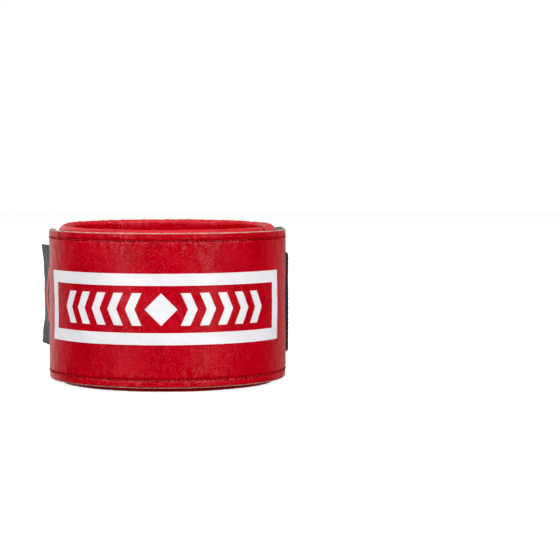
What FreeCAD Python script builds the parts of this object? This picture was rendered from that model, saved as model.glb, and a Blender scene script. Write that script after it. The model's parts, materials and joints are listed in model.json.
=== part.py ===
"""Hook-and-loop wrist cuff: a padded leather band closed by a printed leather strap.

The plan is two half-rounds, the front one about the origin and the rear one about
a point further along +Y, joined by short straight sides. The strap is sewn down at
+X, goes round the front (-Y) and closes on the loop patch at -X.
Angles are measured from +X towards +Y. Sizes are in millimetres and degrees.
"""
import FreeCAD, Part
import math
import os
import Sketcher

doc = FreeCAD.newDocument("wrist_cuff")

# ---------------------------------------------------------------- driving sizes
SIZES = {
    # plan of the cuff
    "straight": 18,            # straight side between the two half-rounds
    "bore_radius": 51,         # inside of the lining
    "lining_outer": 52,
    "padding_outer": 54.6,
    "cover_outer": 55.6,       # outside of the band's leather
    "loop_outer": 57.1,        # top of the loop pile
    "hook_inner": 57.4,        # tips of the hooks
    "backing_inner": 58.4,     # inside of the strap
    "interlining_inner": 59,
    "strap_inner": 60,         # inside of the strap's outer leather
    "strap_outer": 61,
    # heights
    "band_height": 81,
    "rim_height": 2,
    "rim_rounding": 1.85,
    "strap_width": 76.2,        # three inches
    "loop_height": 63,
    "hook_height": 50,
    "anchor_tape_height": 52,
    # where the layers begin and end
    "cuff_front_end": -28,     # free end of the band's right part
    "wing_front_end": -30,     # free end of the band's left part
    "end_binding_turn": 1.6,
    "band_hinge": 135,         # where the band flexes, about the rear centre
    "joint_gap": 0.2,          # cut back at each side of a flexing line
    "flap_hinge_root": -18,
    "flap_hinge_middle": -94,
    "flap_hinge_tip": -168,
    "tip_flat": 28,            # flat end of the strap
    "tip_cut_length": 18,      # clipped corners of the strap's end
    "tip_cut_depth": 11.3,
    "cutter_spare": 2,         # how far the corner cutters reach past the leather
    "loop_front_end": -150,
    "loop_rear_end": 40,
    "hook_front_end": -130,
    "hook_tip_end": 13,
    "anchor_end": 10,
    "anchor_pad_start": -13,
    "tape_start": -3,
    "tape_end": 14,
    "tape_thickness": 1.3,
    # threads and print
    "thread_width": 0.6,
    "thread_rise": 0.3,
    "stitch_margin": 4,
    "print_rise": 0.12,
    "print_height": 35,
    "print_level": 0.7,        # middle of the print above the strap's middle
    "print_bar": 5.9,
    "print_right_end": -26,
    "print_left_end": -160.5,
    "print_bar_turn": 5.6,
    "mark_height": 16,
    "mark_turn": 5,
    "mark_step": 9,
    "mark_first_root": -82.8,
    "mark_first_middle": -144.8,
    "marks_each_side": 5,
    # pull tab
    "tab_thickness": 1,
    "tab_backing": 0.4,
    "tab_gap": 0.3,
    "tab_neck": 40,
    "tab_width": 54,
    "tab_flare_start": 8,
    "tab_flare_end": 31,
    "tab_length": 44,
    "tab_tuck": 14,
    "tab_flare_angle": 13.5,
    "tab_mark_size": 26,
    "tab_mark_bar": 6,
    "tab_mark_offset": 24,
}
sheet = doc.addObject("Spreadsheet::Sheet", "Sizes")
for row, (alias, amount) in enumerate(SIZES.items(), start=1):
    sheet.set(f"A{row}", alias)
    sheet.set(f"B{row}", str(amount))
    sheet.setAlias(f"B{row}", alias)
doc.recompute()

bodies = []


def value(body, expression):
    """The number that an expression on the sheet gives."""
    result = body.evalExpression(expression)
    return float(getattr(result, "Value", result))


# ---------------------------------------------------------------- sketches
def new_body(node):
    body = doc.addObject("PartDesign::Body", node)
    body.Label = node
    bodies.append(body)
    return body


def new_sketch(body, role, height="0"):
    """An empty sketch on one of the body's own origin planes, raised by height."""
    sketch = body.newObject("Sketcher::SketchObject", body.Name + "_outline")
    plane = [f for f in body.Origin.OriginFeatures if f.Role == role][0]
    sketch.AttachmentSupport = (plane, "")
    sketch.MapMode = "FlatFace"
    sketch.setExpression("AttachmentOffset.Base.z", height)
    return sketch


def bind(sketch, kind, geometry, expression, unit=""):
    """Adds a driving constraint and ties its number to the sheet."""
    number = value(sketch, expression)
    if unit:
        number = math.radians(number)
    index = sketch.addConstraint(Sketcher.Constraint(kind, *geometry, number))
    bound = f"({expression}) * 1 {unit}" if unit else expression
    sketch.setExpression(f"Constraints[{index}]", bound)


def join(sketch, *pairs):
    """Joins end points: each pair is two (edge, end) places, tangent when named so."""
    for kind, first, second in pairs:
        sketch.addConstraint(Sketcher.Constraint(kind, *first, *second))


def polar(centre, radius, angle):
    turn = math.radians(angle)
    return FreeCAD.Vector(radius * math.cos(turn), centre + radius * math.sin(turn), 0)


def arc(centre, radius, start, end):
    circle = Part.Circle(FreeCAD.Vector(0, centre, 0), FreeCAD.Vector(0, 0, 1), radius)
    return Part.ArcOfCircle(circle, math.radians(start), math.radians(end))


def hold_centre(sketch, edge, centre):
    """Holds an arc's centre at the front centre, or at the rear one."""
    if centre == "0":
        join(sketch, ("Coincident", (edge, 3), (-1, 1)))
    else:
        sketch.addConstraint(Sketcher.Constraint("PointOnObject", edge, 3, -2))
        bind(sketch, "DistanceY", (-1, 1, edge, 3), centre)


def end_line(sketch, edge, centre_edge, angle):
    """Makes an end line point straight out from the centre at an angle."""
    sketch.addConstraint(Sketcher.Constraint("PointOnObject", centre_edge, 3, edge))
    bind(sketch, "Angle", (edge,), angle, "deg")


def arc_outline(sketch, centre, inner, outer, start, end):
    """A curved strip between two radii about one centre."""
    mid, r_in, r_out, a, b = [value(sketch, e) for e in (centre, inner, outer, start, end)]
    sketch.addGeometry(arc(mid, r_out, a, b))
    sketch.addGeometry(Part.LineSegment(polar(mid, r_in, b), polar(mid, r_out, b)))
    sketch.addGeometry(arc(mid, r_in, a, b))
    sketch.addGeometry(Part.LineSegment(polar(mid, r_in, a), polar(mid, r_out, a)))
    join(
        sketch,
        ("Coincident", (0, 2), (1, 2)),
        ("Coincident", (1, 1), (2, 2)),
        ("Coincident", (2, 1), (3, 1)),
        ("Coincident", (3, 2), (0, 1)),
        ("Coincident", (2, 3), (0, 3)),
    )
    hold_centre(sketch, 0, centre)
    bind(sketch, "Radius", (0,), outer)
    bind(sketch, "Radius", (2,), inner)
    end_line(sketch, 1, 0, end)
    end_line(sketch, 3, 0, start)


def side_outline(sketch, inner, outer, first, turn, second):
    """A strip round one side: an arc, the straight side, and an arc about the other centre.

    first and second are (centre, angle) of the two ends, anticlockwise, and turn is
    the angle of the straight side, 0 on the right or 180 on the left.
    """
    (centre_a, start), (centre_b, end) = first, second
    mid_a, a, mid_b, b = [value(sketch, e) for e in (centre_a, start, centre_b, end)]
    r_in, r_out = value(sketch, inner), value(sketch, outer)
    end_turn = b + 360 if b < turn else b
    sketch.addGeometry(arc(mid_a, r_out, a, turn))
    sketch.addGeometry(Part.LineSegment(polar(mid_a, r_out, turn), polar(mid_b, r_out, turn)))
    sketch.addGeometry(arc(mid_b, r_out, turn, end_turn))
    sketch.addGeometry(Part.LineSegment(polar(mid_b, r_in, b), polar(mid_b, r_out, b)))
    sketch.addGeometry(arc(mid_b, r_in, turn, end_turn))
    sketch.addGeometry(Part.LineSegment(polar(mid_a, r_in, turn), polar(mid_b, r_in, turn)))
    sketch.addGeometry(arc(mid_a, r_in, a, turn))
    sketch.addGeometry(Part.LineSegment(polar(mid_a, r_in, a), polar(mid_a, r_out, a)))
    join(
        sketch,
        ("Tangent", (0, 2), (1, 1)),
        ("Tangent", (1, 2), (2, 1)),
        ("Coincident", (2, 2), (3, 2)),
        ("Coincident", (3, 1), (4, 2)),
        ("Tangent", (5, 2), (4, 1)),
        ("Tangent", (6, 2), (5, 1)),
        ("Coincident", (6, 1), (7, 1)),
        ("Coincident", (7, 2), (0, 1)),
        ("Coincident", (6, 3), (0, 3)),
        ("Coincident", (4, 3), (2, 3)),
    )
    hold_centre(sketch, 0, centre_a)
    hold_centre(sketch, 2, centre_b)
    sketch.addConstraint(Sketcher.Constraint("Vertical", 1))
    sketch.addConstraint(Sketcher.Constraint("Vertical", 5))
    bind(sketch, "Radius", (0,), outer)
    bind(sketch, "Radius", (6,), inner)
    end_line(sketch, 3, 2, end)
    end_line(sketch, 7, 0, start)


def tip_outline(sketch, inner, outer, flat, start):
    """The strap's tip: the flat end along the left side, then an arc about the front centre."""
    r_in, r_out, length, a = [value(sketch, e) for e in (inner, outer, flat, start)]
    sketch.addGeometry(
        Part.LineSegment(FreeCAD.Vector(-r_out, length, 0), FreeCAD.Vector(-r_out, 0, 0))
    )
    sketch.addGeometry(arc(0, r_out, 180, a + 360))
    sketch.addGeometry(Part.LineSegment(polar(0, r_in, a), polar(0, r_out, a)))
    sketch.addGeometry(arc(0, r_in, 180, a + 360))
    sketch.addGeometry(
        Part.LineSegment(FreeCAD.Vector(-r_in, length, 0), FreeCAD.Vector(-r_in, 0, 0))
    )
    sketch.addGeometry(
        Part.LineSegment(FreeCAD.Vector(-r_in, length, 0), FreeCAD.Vector(-r_out, length, 0))
    )
    join(
        sketch,
        ("Tangent", (0, 2), (1, 1)),
        ("Coincident", (1, 2), (2, 2)),
        ("Coincident", (2, 1), (3, 2)),
        ("Tangent", (4, 2), (3, 1)),
        ("Coincident", (5, 1), (4, 1)),
        ("Coincident", (5, 2), (0, 1)),
        ("Coincident", (3, 3), (1, 3)),
    )
    hold_centre(sketch, 1, "0")
    sketch.addConstraint(Sketcher.Constraint("Vertical", 0))
    sketch.addConstraint(Sketcher.Constraint("Vertical", 4))
    sketch.addConstraint(Sketcher.Constraint("Horizontal", 5))
    bind(sketch, "Radius", (1,), outer)
    bind(sketch, "Radius", (3,), inner)
    end_line(sketch, 2, 1, start)
    bind(sketch, "DistanceY", (-1, 1, 0, 1), flat)


def polygon_outline(sketch, corners):
    """Straight edges through corners given as pairs of expressions."""
    points = [
        FreeCAD.Vector(value(sketch, across), value(sketch, up), 0) for across, up in corners
    ]
    last = len(points) - 1
    first_edge = sketch.GeometryCount
    for index, point in enumerate(points):
        following = points[0 if index == last else index + 1]
        sketch.addGeometry(Part.LineSegment(point, following))
    for index, (across, up) in enumerate(corners):
        edge = first_edge + index
        before = first_edge + (last if index == 0 else index - 1)
        join(sketch, ("Coincident", (before, 2), (edge, 1)))
        bind(sketch, "DistanceX", (-1, 1, edge, 1), across)
        bind(sketch, "DistanceY", (-1, 1, edge, 1), up)


# ---------------------------------------------------------------- features
REAR = "Sizes.straight"
FRONT = "0"
LAYER_HEIGHT = "Sizes.band_height - 2 * Sizes.rim_height"
RIM_LEVEL = "(Sizes.band_height - Sizes.rim_height) / 2"
STITCH_LEVEL = "Sizes.strap_width / 2 - Sizes.stitch_margin"
TIP_START = "Sizes.flap_hinge_tip - Sizes.joint_gap"
LEVEL_TOLERANCE = 1e-6


def pad(body, sketch, length, centred=True):
    """Raises a sketch by length, half to each side when centred."""
    feature = body.newObject("PartDesign::Pad", body.Name + "_pad")
    feature.Profile = sketch
    feature.Midplane = centred
    feature.setExpression("Length", length)
    sketch.Visibility = False
    return feature


def arc_strip(node, centre, inner, outer, start, end, height, raised="0"):
    body = new_body(node)
    sketch = new_sketch(body, "XY_Plane", raised)
    arc_outline(sketch, centre, inner, outer, start, end)
    pad(body, sketch, height)
    return body


def side_strip(node, inner, outer, first, turn, second, height, raised="0"):
    body = new_body(node)
    sketch = new_sketch(body, "XY_Plane", raised)
    side_outline(sketch, inner, outer, first, turn, second)
    pad(body, sketch, height)
    return body


def tip_strip(node, inner, outer, flat, height, raised="0"):
    body = new_body(node)
    sketch = new_sketch(body, "XY_Plane", raised)
    tip_outline(sketch, inner, outer, flat, TIP_START)
    pad(body, sketch, height)
    return body


def clip_corners(body):
    """Cuts both corners off the strap's free end, straight through its thickness."""
    for sign in ("", "-"):
        edge = f"{sign}Sizes.strap_width / 2"
        low = f"{sign}(Sizes.strap_width / 2 - Sizes.tip_cut_depth)"
        beyond = f"{sign}(Sizes.strap_width / 2 + Sizes.cutter_spare)"
        sketch = new_sketch(body, "YZ_Plane")
        polygon_outline(
            sketch,
            [
                ("Sizes.tip_flat - Sizes.tip_cut_length", edge),
                ("Sizes.tip_flat", low),
                ("Sizes.tip_flat + Sizes.cutter_spare", low),
                ("Sizes.tip_flat + Sizes.cutter_spare", beyond),
                ("Sizes.tip_flat - Sizes.tip_cut_length", beyond),
            ],
        )
        pocket = body.newObject("PartDesign::Pocket", body.Name + "_corner")
        pocket.Profile = sketch
        pocket.Type = "ThroughAll"
        pocket.Midplane = True
        sketch.Visibility = False


def round_rim(body, upwards):
    """Rounds the two long edges that the finger meets on a rolled binding."""
    doc.recompute()
    base = body.Tip
    box = base.Shape.BoundBox
    level = box.ZMax if upwards else box.ZMin
    across = value(body, "Sizes.cover_outer - Sizes.bore_radius")
    names = []
    for number, edge in enumerate(base.Shape.Edges, start=1):
        reach = max(abs(edge.BoundBox.ZMin - level), abs(edge.BoundBox.ZMax - level))
        if reach < LEVEL_TOLERANCE and edge.Length > across * 1.5:
            names.append(f"Edge{number}")
    fillet = body.newObject("PartDesign::Fillet", body.Name + "_roll")
    fillet.Base = (base, names)
    fillet.setExpression("Radius", "Sizes.rim_rounding")


# ---------------------------------------------------------------- the padded band
CUFF_START = (FRONT, "Sizes.cuff_front_end")
CUFF_END = (REAR, "Sizes.band_hinge - Sizes.joint_gap")
WING_START = (REAR, "Sizes.band_hinge + Sizes.joint_gap")
WING_END = (FRONT, "Sizes.wing_front_end")
CUFF_LAYERS_START = (FRONT, "Sizes.cuff_front_end + Sizes.end_binding_turn")
WING_LAYERS_END = (FRONT, "Sizes.wing_front_end - Sizes.end_binding_turn")
BAND_LAYERS = (
    ("lining", "Sizes.bore_radius", "Sizes.lining_outer"),
    ("padding", "Sizes.lining_outer", "Sizes.padding_outer"),
    ("cover", "Sizes.padding_outer", "Sizes.cover_outer"),
)
for layer, inner, outer in BAND_LAYERS:
    side_strip(f"cuff_{layer}", inner, outer, CUFF_LAYERS_START, 0, CUFF_END, LAYER_HEIGHT)
    side_strip(f"wing_{layer}", inner, outer, WING_START, 180, WING_LAYERS_END, LAYER_HEIGHT)

for side, level, upwards in (("top", RIM_LEVEL, True), ("bottom", f"-({RIM_LEVEL})", False)):
    for part, first, turn, second in (
        ("cuff", CUFF_START, 0, CUFF_END),
        ("wing", WING_START, 180, WING_END),
    ):
        rim = side_strip(
            f"{part}_rim_{side}",
            "Sizes.bore_radius",
            "Sizes.cover_outer",
            first,
            turn,
            second,
            "Sizes.rim_height",
            level,
        )
        round_rim(rim, upwards)

arc_strip(
    "cuff_end_binding", FRONT, "Sizes.bore_radius", "Sizes.cover_outer",
    "Sizes.cuff_front_end", "Sizes.cuff_front_end + Sizes.end_binding_turn", LAYER_HEIGHT,
)
arc_strip(
    "wing_end_binding", FRONT, "Sizes.bore_radius", "Sizes.cover_outer",
    "Sizes.wing_front_end - Sizes.end_binding_turn", "Sizes.wing_front_end", LAYER_HEIGHT,
)

# ---------------------------------------------------------------- loop patch on the band
side_strip(
    "loop_patch_side", "Sizes.cover_outer", "Sizes.loop_outer",
    WING_START, 180, (FRONT, "Sizes.loop_front_end"), "Sizes.loop_height",
)
arc_strip(
    "loop_patch_rear", REAR, "Sizes.cover_outer", "Sizes.loop_outer",
    "Sizes.loop_rear_end", "Sizes.band_hinge - Sizes.joint_gap", "Sizes.loop_height",
)

# ---------------------------------------------------------------- the strap
STRAP_LAYERS = (
    ("backing", "Sizes.backing_inner", "Sizes.interlining_inner"),
    ("interlining", "Sizes.interlining_inner", "Sizes.strap_inner"),
    ("cover", "Sizes.strap_inner", "Sizes.strap_outer"),
)
THREAD = ("Sizes.strap_outer", "Sizes.strap_outer + Sizes.thread_rise")
ANCHOR_START = (FRONT, "Sizes.flap_hinge_root + Sizes.joint_gap")
ANCHOR_END = (REAR, "Sizes.anchor_end")
ROOT_SPAN = (
    "Sizes.flap_hinge_middle + Sizes.joint_gap",
    "Sizes.flap_hinge_root - Sizes.joint_gap",
)
MIDDLE_SPAN = (
    "Sizes.flap_hinge_tip + Sizes.joint_gap",
    "Sizes.flap_hinge_middle - Sizes.joint_gap",
)
TIP_FLAT = "Sizes.tip_flat"

for layer, inner, outer in STRAP_LAYERS:
    side_strip(
        f"anchor_{layer}", inner, outer, ANCHOR_START, 0, ANCHOR_END, "Sizes.strap_width"
    )
    arc_strip(f"strap_{layer}_root", FRONT, inner, outer, *ROOT_SPAN, "Sizes.strap_width")
    arc_strip(f"strap_{layer}_middle", FRONT, inner, outer, *MIDDLE_SPAN, "Sizes.strap_width")
    tip = tip_strip(f"strap_{layer}_tip", inner, outer, TIP_FLAT, "Sizes.strap_width")
    clip_corners(tip)

THREAD_ROWS = (("upper", STITCH_LEVEL), ("lower", f"-({STITCH_LEVEL})"))
THREAD_TIP_FLAT = "Sizes.tip_flat - Sizes.tip_cut_length"
for row, level in THREAD_ROWS:
    width = "Sizes.thread_width"
    side_strip(f"anchor_thread_{row}", *THREAD, ANCHOR_START, 0, ANCHOR_END, width, level)
    arc_strip(f"strap_thread_{row}_root", FRONT, *THREAD, *ROOT_SPAN, width, level)
    arc_strip(f"strap_thread_{row}_middle", FRONT, *THREAD, *MIDDLE_SPAN, width, level)
    tip_strip(f"strap_thread_{row}_tip", *THREAD, THREAD_TIP_FLAT, width, level)

arc_strip(
    "hook_patch_middle", FRONT, "Sizes.hook_inner", "Sizes.backing_inner",
    MIDDLE_SPAN[0], "Sizes.hook_front_end", "Sizes.hook_height",
)
tip_strip(
    "hook_patch_tip", "Sizes.hook_inner", "Sizes.backing_inner",
    "Sizes.hook_tip_end", "Sizes.hook_height",
)

# ---------------------------------------------------------------- the sewn-down end
side_strip(
    "anchor_pad", "Sizes.cover_outer", "Sizes.backing_inner",
    (FRONT, "Sizes.anchor_pad_start"), 0, ANCHOR_END, "Sizes.strap_width",
)
side_strip(
    "anchor_tape", "Sizes.strap_outer", "Sizes.strap_outer + Sizes.tape_thickness",
    (FRONT, "Sizes.tape_start"), 0, (REAR, "Sizes.tape_end"), "Sizes.anchor_tape_height",
)

# ---------------------------------------------------------------- white print
PRINT = ("Sizes.strap_outer", "Sizes.strap_outer + Sizes.print_rise")
PRINT_SPANS = (
    ("root", ROOT_SPAN[0], "Sizes.print_right_end",
     "Sizes.print_right_end - Sizes.print_bar_turn", "Sizes.print_right_end"),
    ("middle", "Sizes.print_left_end", MIDDLE_SPAN[1],
     "Sizes.print_left_end", "Sizes.print_left_end + Sizes.print_bar_turn"),
)
BAR_LEVEL = "(Sizes.print_height - Sizes.print_bar) / 2"
for part, start, end, bar_start, bar_end in PRINT_SPANS:
    frame = arc_strip(
        f"print_frame_{part}", FRONT, *PRINT, bar_start, bar_end, "Sizes.print_height",
        "Sizes.print_level",
    )
    for level in (BAR_LEVEL, f"-{BAR_LEVEL}"):
        bar = new_sketch(frame, "XY_Plane", f"Sizes.print_level + {level}")
        arc_outline(bar, FRONT, *PRINT, start, end)
        pad(frame, bar, "Sizes.print_bar")

for part in ("root", "middle"):
    first = f"Sizes.mark_first_{part}"
    marks = arc_strip(
        f"print_marks_{part}", FRONT, *PRINT, first, f"{first} + Sizes.mark_turn",
        "Sizes.mark_height", "Sizes.print_level",
    )
    doc.recompute()
    pattern = marks.newObject("PartDesign::PolarPattern", marks.Name + "_row")
    pattern.Originals = [f for f in marks.Group if f.isDerivedFrom("PartDesign::Pad")]
    axis = [f for f in marks.Origin.OriginFeatures if f.Role == "Z_Axis"][0]
    pattern.Axis = (axis, [""])
    pattern.setExpression("Occurrences", "Sizes.marks_each_side")
    pattern.setExpression("Angle", "Sizes.mark_step * (Sizes.marks_each_side - 1)")
    marks.Tip = pattern

# ---------------------------------------------------------------- pull tab
TAB_OUTLINE = (
    ("0", "Sizes.tab_neck / 2"),
    ("Sizes.tab_flare_start", "Sizes.tab_neck / 2"),
    ("Sizes.tab_flare_end", "Sizes.tab_width / 2"),
    ("Sizes.tab_length", "Sizes.tab_width / 2"),
    ("Sizes.tab_length", "-Sizes.tab_width / 2"),
    ("Sizes.tab_flare_end", "-Sizes.tab_width / 2"),
    ("Sizes.tab_flare_start", "-Sizes.tab_neck / 2"),
    ("0", "-Sizes.tab_neck / 2"),
)


def tab_plate(node, corners, thickness, depth):
    """A flat plate on the tab's own plane, sunk by depth and turned out with the tab."""
    body = new_body(node)
    sketch = new_sketch(body, "YZ_Plane", depth)
    polygon_outline(sketch, corners)
    pad(body, sketch, thickness, centred=False)
    body.setExpression("Placement.Base.x", "-Sizes.backing_inner")
    body.setExpression("Placement.Base.y", "Sizes.tip_flat + Sizes.tab_gap")
    body.setExpression("Placement.Rotation.Angle", "Sizes.tab_flare_angle * 1 deg")
    return body


tab_plate(
    "pull_tab_leather", TAB_OUTLINE, "Sizes.tab_thickness - Sizes.tab_backing", "0"
)
tab_plate(
    "pull_tab_backing", TAB_OUTLINE, "Sizes.tab_backing",
    "Sizes.tab_thickness - Sizes.tab_backing",
)
MARK_HALF = "Sizes.tab_mark_size / 2"
MARK_NEAR = "Sizes.tab_mark_offset - Sizes.tab_mark_size / 2"
MARK_FAR = "Sizes.tab_mark_offset + Sizes.tab_mark_size / 2"
MARK_TIP = "Sizes.tab_mark_bar"
tab_plate(
    "pull_tab_mark",
    (
        (MARK_NEAR, "0"),
        ("Sizes.tab_mark_offset", MARK_HALF),
        (f"Sizes.tab_mark_offset + {MARK_TIP}", MARK_HALF),
        (f"{MARK_NEAR} + {MARK_TIP}", "0"),
        (f"Sizes.tab_mark_offset + {MARK_TIP}", f"-{MARK_HALF}"),
        ("Sizes.tab_mark_offset", f"-{MARK_HALF}"),
    ),
    "Sizes.print_rise",
    "-Sizes.print_rise",
)

# the tab's sewn root lies under the strap's end, behind the hooks
tab_root = new_body("pull_tab_root")
root_sketch = new_sketch(tab_root, "YZ_Plane", "-Sizes.backing_inner")
polygon_outline(
    root_sketch,
    (
        ("Sizes.tip_flat - Sizes.tab_tuck", "Sizes.tab_neck / 2"),
        ("Sizes.tip_flat", "Sizes.tab_neck / 2"),
        ("Sizes.tip_flat", "-Sizes.tab_neck / 2"),
        ("Sizes.tip_flat - Sizes.tab_tuck", "-Sizes.tab_neck / 2"),
    ),
)
pad(tab_root, root_sketch, "Sizes.tab_thickness", centred=False)

# ---------------------------------------------------------------- check and write
doc.recompute()
for item in doc.Objects:
    faults = [state for state in item.State if state in ("Invalid", "Error")]
    if faults:
        raise RuntimeError(f"{item.Name}: {faults}")
for body in bodies:
    shape = body.Shape
    if shape.isNull() or not shape.isValid() or not shape.Solids:
        raise RuntimeError(f"{body.Label}: no valid solid")
os.makedirs("parts", exist_ok=True)
for body in bodies:
    body.Shape.exportStep(os.path.join("parts", body.Label + ".step"))
    print(f"{body.Label:28s} {len(body.Shape.Solids):3d} {body.Shape.Volume:10.1f} mm3")
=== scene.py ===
"""Looks of a hook-and-loop wrist cuff: padded red leather band, printed strap, black pull tab."""
import json
import math

import bpy
import numpy as np
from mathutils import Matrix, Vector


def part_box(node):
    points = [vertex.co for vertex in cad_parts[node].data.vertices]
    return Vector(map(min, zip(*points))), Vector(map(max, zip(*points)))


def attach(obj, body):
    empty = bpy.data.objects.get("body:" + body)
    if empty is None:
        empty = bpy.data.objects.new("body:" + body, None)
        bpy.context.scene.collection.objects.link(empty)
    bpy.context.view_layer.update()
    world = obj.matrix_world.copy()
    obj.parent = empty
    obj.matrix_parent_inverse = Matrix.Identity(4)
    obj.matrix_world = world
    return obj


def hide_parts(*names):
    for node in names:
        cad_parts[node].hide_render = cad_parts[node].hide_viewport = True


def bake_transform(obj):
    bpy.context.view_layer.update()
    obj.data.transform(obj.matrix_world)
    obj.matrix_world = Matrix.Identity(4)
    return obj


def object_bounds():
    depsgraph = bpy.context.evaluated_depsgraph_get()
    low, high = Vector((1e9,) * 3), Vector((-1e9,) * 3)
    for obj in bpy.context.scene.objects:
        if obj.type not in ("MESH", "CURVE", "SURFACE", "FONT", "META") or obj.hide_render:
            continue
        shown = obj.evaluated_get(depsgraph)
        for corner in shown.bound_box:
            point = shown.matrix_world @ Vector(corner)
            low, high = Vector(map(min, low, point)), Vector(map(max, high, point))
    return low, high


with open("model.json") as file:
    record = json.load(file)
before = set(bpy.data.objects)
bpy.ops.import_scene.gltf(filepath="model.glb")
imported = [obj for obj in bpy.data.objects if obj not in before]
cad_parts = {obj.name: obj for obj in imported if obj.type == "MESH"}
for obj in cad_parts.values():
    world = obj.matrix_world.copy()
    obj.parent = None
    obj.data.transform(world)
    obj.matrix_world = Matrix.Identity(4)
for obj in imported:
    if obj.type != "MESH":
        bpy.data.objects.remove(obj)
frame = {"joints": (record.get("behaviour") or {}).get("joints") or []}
cad_low, cad_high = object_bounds()

# ---------------------------- the studio
# A pale floor that glows and that reflections and bounced light don't see. Two tall soft boxes
# stand in front, two wide ones behind and three hang high up. The room is dim, and white only
# where the camera looks at it. The camera has a long lens.
FLOOR_HALF, FLOOR_GREY, FLOOR_GLOW = 3.0, 0.35, 0.85
ROOM_LIGHT, BLACK_LEVEL = 0.30, 0.011
CAMERA_LENS, CAMERA_SENSOR = 130, 36  # millimetres
CAMERA_AWAY, CAMERA_HEIGHT = 1.048, 0.0767
CAMERA_PITCH, CAMERA_YAW = -3.57, -3.175  # degrees
scene = bpy.context.scene
floor_mesh = bpy.data.meshes.new("floor")
floor_corners = [
    (x * FLOOR_HALF, y * FLOOR_HALF, cad_low.z) for x, y in ((-1, -1), (1, -1), (1, 1), (-1, 1))
]
floor_mesh.from_pydata(floor_corners, [], [(0, 1, 2, 3)])
floor = bpy.data.objects.new("floor", floor_mesh)
scene.collection.objects.link(floor)
floor_paint = bpy.data.materials.new("light_table")
floor_paint.use_nodes = True
floor_shader = floor_paint.node_tree.nodes["Principled BSDF"]
floor_shader.inputs["Base Color"].default_value = (FLOOR_GREY, FLOOR_GREY, FLOOR_GREY, 1)
floor_shader.inputs["Roughness"].default_value = 0.8
floor_shader.inputs["Specular IOR Level"].default_value = 0.1
floor_shader.inputs["Emission Color"].default_value = (1, 1, 1, 1)
floor_shader.inputs["Emission Strength"].default_value = FLOOR_GLOW
floor_mesh.materials.append(floor_paint)
floor.visible_glossy = False
floor.visible_diffuse = False

world = bpy.data.worlds.new("studio")
scene.world = world
world.use_nodes = True
world_nodes, world_links = world.node_tree.nodes, world.node_tree.links
backdrop = world_nodes["Background"]
backdrop.inputs["Color"].default_value = (1, 1, 1, 1)
room = world_nodes.new("ShaderNodeBackground")
room.inputs["Strength"].default_value = ROOM_LIGHT
seen = world_nodes.new("ShaderNodeLightPath")
either = world_nodes.new("ShaderNodeMixShader")
world_links.new(seen.outputs["Is Camera Ray"], either.inputs["Fac"])
world_links.new(room.outputs["Background"], either.inputs[1])
world_links.new(backdrop.outputs["Background"], either.inputs[2])
world_links.new(either.outputs["Shader"], world_nodes["World Output"].inputs["Surface"])


def soft_box(name, azimuth, height, distance, width, tall, watts):
    """A rectangular light aimed at the cuff. Azimuth 0 is in front, 90 on the right."""
    turn = math.radians(azimuth)
    light = bpy.data.lights.new(name, "AREA")
    light.shape = "RECTANGLE"
    light.size, light.size_y = width, tall
    light.energy = watts
    lamp = bpy.data.objects.new(name, light)
    lamp.location = (distance * math.sin(turn), -distance * math.cos(turn), height)
    aim = -lamp.location
    lamp.rotation_mode = "QUATERNION"
    lamp.rotation_quaternion = aim.to_track_quat("-Z", "Y")
    lamp.visible_camera = False
    scene.collection.objects.link(lamp)


soft_box("key_left", -42, 0.30, 1.5, 0.16, 1.4, 12)
soft_box("key_right", 37, 0.30, 1.5, 0.16, 1.4, 14)
soft_box("back_left", -152, 0.3, 1.6, 1.1, 1.6, 4)
soft_box("back_right", 152, 0.3, 1.6, 1.1, 1.6, 1)
soft_box("high_left", -60, 1.3, 1.2, 0.9, 0.9, 17)
soft_box("high_right", 60, 1.3, 1.2, 0.9, 0.9, 17)
soft_box("overhead", 0, 1.6, 0.2, 1.8, 1.8, 16)

camera_data = bpy.data.cameras.new("camera")
camera_data.lens = CAMERA_LENS
camera_data.sensor_width = CAMERA_SENSOR
camera = bpy.data.objects.new("camera", camera_data)
camera.location = (0.0, -CAMERA_AWAY, CAMERA_HEIGHT)
camera.rotation_euler = (math.radians(90 + CAMERA_PITCH), 0, math.radians(CAMERA_YAW))
scene.collection.objects.link(camera)
scene.camera = camera
view = scene.view_settings
view.view_transform = "Standard"
view.use_curve_mapping = True
view.curve_mapping.black_level = (BLACK_LEVEL, BLACK_LEVEL, BLACK_LEVEL)
view.curve_mapping.update()

# ---------------------------- the band's leather
# One strip of red cowhide folded over the foam: it covers the outside, rolls over both
# rims and turns in a finger's width on the inside, where it is stitched down.
GIRTH_RADIUS = -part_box("strap_cover_root")[0].y
BAND_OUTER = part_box("cuff_cover")[1].x
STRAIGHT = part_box("cuff_cover")[1].y - BAND_OUTER
BAND_INNER = 0.051
BAND_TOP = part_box("cuff_rim_top")[1].z
QUARTER = GIRTH_RADIUS * math.pi / 2
LOOP_LENGTH = 4 * QUARTER + 2 * STRAIGHT
JOINTS = {joint["name"]: joint for joint in frame["joints"]}


def plan(along, radius):
    """Plan of the cuff: the front half-round, a straight side, the rear half-round.

    along is the length round the strap from the middle of the front, positive to the
    right. A quarter turn takes QUARTER of it and a side STRAIGHT. The point stands at
    radius from the centre that its stretch turns about. Gives x, y and the outward
    direction's x and y.
    """
    side = np.where(along < 0, -1.0, 1.0)
    run = np.abs(along)
    far_side = 3 * QUARTER + STRAIGHT
    turned = np.minimum(run, QUARTER) + np.clip(run - QUARTER - STRAIGHT, 0, 2 * QUARTER)
    turned = turned + np.maximum(run - far_side - STRAIGHT, 0)
    turn = turned / GIRTH_RADIUS
    rise = np.clip(run - QUARTER, 0, STRAIGHT) - np.clip(run - far_side, 0, STRAIGHT)
    out_x, out_y = side * np.sin(turn), -np.cos(turn)
    return radius * out_x, rise + radius * out_y, out_x, out_y


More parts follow.
